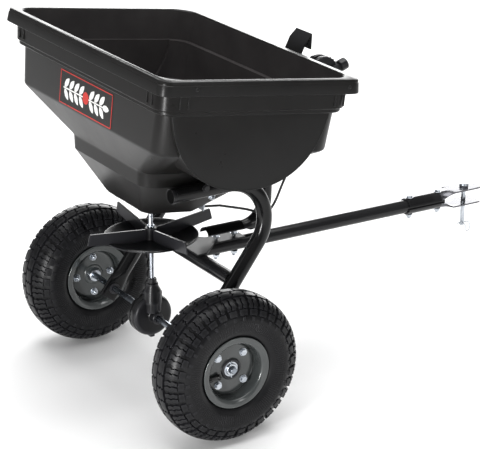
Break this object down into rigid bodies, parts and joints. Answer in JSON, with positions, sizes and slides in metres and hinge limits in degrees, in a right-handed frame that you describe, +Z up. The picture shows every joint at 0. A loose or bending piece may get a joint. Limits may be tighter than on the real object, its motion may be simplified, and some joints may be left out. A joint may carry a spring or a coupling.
{
  "type": "tow-behind broadcast spreader",
  "caption": "Tow-behind spreader: moulded hopper on a tubular frame with tyred wheels, geared impeller shaft, sliding gate, cable control and pinned hitch.",
  "frame": {"origin": "on the ground, in the middle of the overall width and length, below the tow tube", "axes": "+Y forward along the tow tube towards the hitch, +X the machine's right-hand side, +Z up"},
  "size_m": [0.584, 0.8562, 0.6545],
  "materials": {
    "hopper_poly": "black moulded plastic",
    "black_paint": "gloss black powder coat",
    "black_plastic": "satin black plastic",
    "zinc": "zinc plated steel",
    "grey_rim": "dark grey painted pressed steel",
    "tyre_rubber": "black tyre rubber",
    "gear_steel": "machined steel",
    "bushing_nylon": "natural nylon",
    "cable_jacket": "black cable jacket"
  },
  "bodies": {
    "frame": {"hopper": "hopper_poly", "gate_guide_left": "zinc", "gate_guide_right": "zinc", "hopper_shaft_bushing": "bushing_nylon", "frame_tube_left": "black_paint", "frame_tube_right": "black_paint", "cross_tube": "black_paint", "gusset_plate": "black_paint", "tow_tube": "black_paint", "front_support_tube": "black_paint", "support_bolt_rear": "zinc", "support_bolt_front": "zinc", "hitch_bracket_upper": "black_paint", "hitch_bracket_lower": "black_paint", "hitch_bolt_rear": "zinc", "hitch_bolt_front": "zinc", "hopper_bolt_left": "zinc", "hopper_bolt_right": "zinc", "hopper_front_bolt": "zinc", "control_hook_bracket": "black_paint", "control_housing": "black_plastic", "lever_pivot_bolt": "zinc", "control_cable": "cable_jacket", "cable_anchor": "zinc", "axle_bushing_left": "bushing_nylon", "axle_bushing_right": "bushing_nylon", "gearcase_left": "black_plastic", "gearcase_right": "black_plastic"},
    "axle_and_drive_wheel": {"axle": "zinc", "crown_gear": "gear_steel", "crown_gear_pin": "gear_steel", "drive_pin": "zinc", "axle_end_pin": "zinc", "drive_wheel_rim_outer": "grey_rim", "drive_wheel_rim_inner": "grey_rim", "drive_wheel_tyre": "tyre_rubber", "drive_wheel_hub": "black_plastic", "drive_wheel_bolt_1": "zinc", "drive_wheel_bolt_2": "zinc", "drive_wheel_bolt_3": "zinc", "drive_wheel_bolt_4": "zinc"},
    "free_wheel": {"free_wheel_rim_outer": "grey_rim", "free_wheel_rim_inner": "grey_rim", "free_wheel_tyre": "tyre_rubber", "free_wheel_hub": "black_plastic", "free_wheel_bolt_1": "zinc", "free_wheel_bolt_2": "zinc", "free_wheel_bolt_3": "zinc", "free_wheel_bolt_4": "zinc"},
    "shaft": {"spreader_shaft": "zinc", "pinion_gear": "gear_steel", "impeller": "black_plastic", "impeller_pin": "zinc", "agitator": "zinc"},
    "gate": {"gate_plate": "zinc"},
    "lever": {"control_lever": "black_plastic", "lever_grip": "black_plastic"},
    "flow_stop": {"flow_stop": "black_plastic"},
    "hitch_pin": {"hitch_pin": "zinc"},
    "hitch_pin_clip": {"hitch_pin_clip": "zinc"}
  },
  "joints": [
    {"name": "axle_spin", "type": "hinge", "parent": "frame", "child": "axle_and_drive_wheel", "pos_m": [0, -0.2961, 0.132], "axis": [1, 0, 0], "continuous": true},
    {"name": "free_wheel_spin", "type": "hinge", "parent": "frame", "child": "free_wheel", "pos_m": [-0.245, -0.2961, 0.132], "axis": [1, 0, 0], "continuous": true},
    {"name": "shaft_spin", "type": "hinge", "parent": "frame", "child": "shaft", "pos_m": [0, -0.2961, 0.2], "axis": [0, 0, 1], "continuous": true},
    {"name": "lever_swing", "type": "hinge", "parent": "frame", "child": "lever", "pos_m": [0.0993, -0.00386, 0.55812], "axis": [1, 0, 0], "range_deg": [0, 60]},
    {"name": "gate_slide", "type": "slide", "parent": "frame", "child": "gate", "axis": [0, 0.9888, -0.1495], "range_m": [0, 0.0306]},
    {"name": "flow_stop_turn", "type": "hinge", "parent": "frame", "child": "flow_stop", "pos_m": [0.0993, -0.00386, 0.55812], "axis": [1, 0, 0], "range_deg": [-60, 0]},
    {"name": "hitch_pin_lift", "type": "slide", "parent": "frame", "child": "hitch_pin", "axis": [0, 0.0192, 0.9998], "range_m": [0, 0.03]},
    {"name": "clip_pull", "type": "slide", "parent": "hitch_pin", "child": "hitch_pin_clip", "axis": [0, 0.9998, -0.0192], "range_m": [0, 0.03]}
  ],
  "couplings": [
    {"joint": "shaft_spin", "follows": "axle_spin", "ratio": 3},
    {"joint": "gate_slide", "follows": "lever_swing", "m_per_rad": 0.02864}
  ]
}
